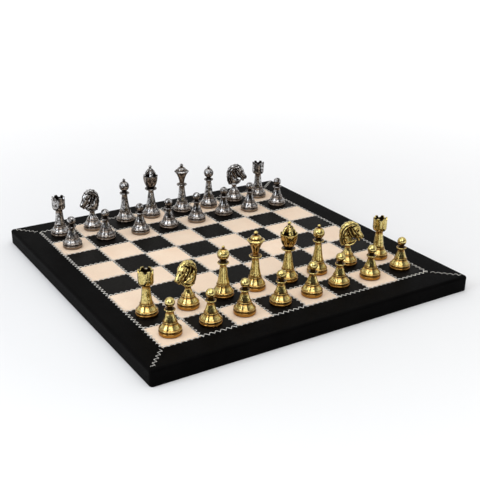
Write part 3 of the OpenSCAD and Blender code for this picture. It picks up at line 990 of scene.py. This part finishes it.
def chessman(name, kind, middle_of, felt_node):
    """One chessman: its casting and its felt pad, both riding on its own body."""
    low, high = node_box(middle_of)
    x, y = (low[:2] + high[:2]) / 2
    height = node_box(name)[1][2] - TOP
    metal_name = name.split("_")[0]
    verts, faces, patina_and_shade = casting(kind, x, y, height, name.endswith("left"))
    add_piece(name + "_casting", verts, faces, GOLD if metal_name == "gold" else SILVER, name,
              (name,), 42, {"patina_and_shade": patina_and_shade})
    felt_pad(name, x, y, (felt_node,) if felt_node else ())


for metal_name in METALS:
    for officer in OFFICER_KINDS:
        name = f"{metal_name}_{officer}"
        chessman(name, officer.split("_")[0], name + "_felt", name + "_felt")
    for k in range(1, PAWNS_PER_SIDE + 1):
        name = f"{metal_name}_pawn_{k}"
        chessman(name, "pawn", name, None)

# ---- Floor, lights and camera ----


def from_above(target, azimuth, elevation, distance):
    """The point seen from target in that direction: azimuth 0 is towards -Y, and it turns towards +X."""
    a, e = math.radians(azimuth), math.radians(elevation)
    away = Vector((math.sin(a) * math.cos(e), -math.cos(a) * math.cos(e), math.sin(e)))
    return Vector(target) + away * distance


FLOOR_SIZE = 12.0               # half the floor's side, in metres
GLOW_MIDDLE = (-0.08, -0.05, 0)
BOARD_MIDDLE = (0, 0, 0.04)     # where the lights aim
ROOM_BACK = 0.80                # the room's brightness behind the board
ROOM_FRONT = 0.06               # and on the camera's side
ROOM_AZIMUTH = -32              # the direction of that dark side
VIEW_AZIMUTH, VIEW_ELEVATION, VIEW_ROLL = -32.20, 22.40, 0.70
VIEW_TARGET = (0.0330, 0.0209)  # the place on the board that the camera aims at
VIEW_DISTANCE = 1.0413
LENS = 62.51


def add_floor():
    """A pale floor. It glows a little further off, so that it stays as pale there as near the board."""
    s = Shader("floor_white")
    s.bsdf.inputs["Specular IOR Level"].default_value = 0.0
    s.bsdf.inputs["Emission Color"].default_value = (1.0, 1.0, 1.0, 1)
    reach = s.nodes.new("ShaderNodeVectorMath")
    reach.operation = "DISTANCE"
    s.links.new(s.place, reach.inputs[0])
    reach.inputs[1].default_value = GLOW_MIDDLE
    glow = s.spread(reach.outputs["Value"], 0.2, 1.6, 0, 0.66)
    s.connect(s.bsdf.inputs["Emission Strength"], glow)
    colour = s.mix(s.spread(s.noise(900, 2), 0.3, 0.7), (0.77, 0.77, 0.775, 1), (0.785, 0.785, 0.785, 1))
    material = s.finish(colour, 0.9)
    mesh = bpy.data.meshes.new("floor")
    low, high = -FLOOR_SIZE, FLOOR_SIZE
    mesh.from_pydata([(low, low, 0), (high, low, 0), (high, high, 0), (low, high, 0)], [], [(0, 1, 2, 3)])
    mesh.materials.append(material)
    floor = bpy.data.objects.new("floor", mesh)
    bpy.context.scene.collection.objects.link(floor)


def add_light(name, azimuth, elevation, distance, width, height, power, colour=(1, 1, 1)):
    """A soft box aimed at the middle of the board."""
    light = bpy.data.lights.new(name, "AREA")
    light.shape = "RECTANGLE"
    light.size, light.size_y = width, height
    light.energy = power
    light.color = colour
    holder = bpy.data.objects.new(name, light)
    holder.location = from_above(BOARD_MIDDLE, azimuth, elevation, distance)
    aim = Vector(BOARD_MIDDLE) - holder.location
    holder.rotation_euler = aim.to_track_quat("-Z", "Y").to_euler()
    bpy.context.scene.collection.objects.link(holder)


def add_world():
    """A white room to the eye. To what is lit by it, it is bright behind the board and dark in front."""
    world = bpy.data.worlds.new("studio")
    bpy.context.scene.world = world
    world.use_nodes = True
    nodes, links = world.node_tree.nodes, world.node_tree.links
    nodes.clear()
    output = nodes.new("ShaderNodeOutputWorld")
    choose = nodes.new("ShaderNodeMixShader")
    seen, lit = nodes.new("ShaderNodeBackground"), nodes.new("ShaderNodeBackground")
    seen.inputs["Color"].default_value = (0.98, 0.98, 0.985, 1)
    links.new(room_light(nodes, links), lit.inputs["Color"])
    path = nodes.new("ShaderNodeLightPath")
    links.new(path.outputs["Is Camera Ray"], choose.inputs["Fac"])
    links.new(lit.outputs[0], choose.inputs[1])
    links.new(seen.outputs[0], choose.inputs[2])
    links.new(choose.outputs[0], output.inputs["Surface"])


def room_light(nodes, links):
    """The room's light by direction: dark from the front, growing towards the back and overhead."""
    place = nodes.new("ShaderNodeTexCoord").outputs["Generated"]
    front = nodes.new("ShaderNodeVectorMath")
    front.operation = "DOT_PRODUCT"
    links.new(place, front.inputs[0])
    front.inputs[1].default_value = from_above((0, 0, 0), ROOM_AZIMUTH, 0, 1)
    fade = nodes.new("ShaderNodeMapRange")
    fade.interpolation_type = "SMOOTHSTEP"
    links.new(front.outputs["Value"], fade.inputs["Value"])
    fade.inputs["From Min"].default_value = -0.1
    fade.inputs["From Max"].default_value = 0.8
    fade.inputs["To Min"].default_value = ROOM_BACK
    fade.inputs["To Max"].default_value = ROOM_FRONT
    return fade.outputs["Result"]


def add_camera():
    """The camera, above the gold side's left-hand corner."""
    target = Vector((*VIEW_TARGET, TOP * MM))
    camera = bpy.data.cameras.new("camera")
    camera.lens = LENS
    camera.sensor_width = 36
    holder = bpy.data.objects.new("camera", camera)
    holder.location = from_above(target, VIEW_AZIMUTH, VIEW_ELEVATION, VIEW_DISTANCE)
    aim = (target - holder.location).to_track_quat("-Z", "Y")
    roll = Matrix.Rotation(math.radians(VIEW_ROLL), 3, "Z")
    holder.rotation_euler = (aim.to_matrix() @ roll).to_euler()
    bpy.context.scene.collection.objects.link(holder)
    bpy.context.scene.camera = holder


add_floor()
add_world()
add_light("soft_box_front", azimuth=-26, elevation=43, distance=1.7, width=1.2, height=1.2, power=9)
add_light("soft_box_left", azimuth=-84, elevation=30, distance=1.7, width=0.8, height=1.2, power=11,
          colour=(0.86, 0.92, 1.0))
add_light("overhead", azimuth=-20, elevation=82, distance=1.8, width=1.4, height=1.4, power=8)
add_camera()
bpy.context.scene.view_settings.view_transform = "Standard"
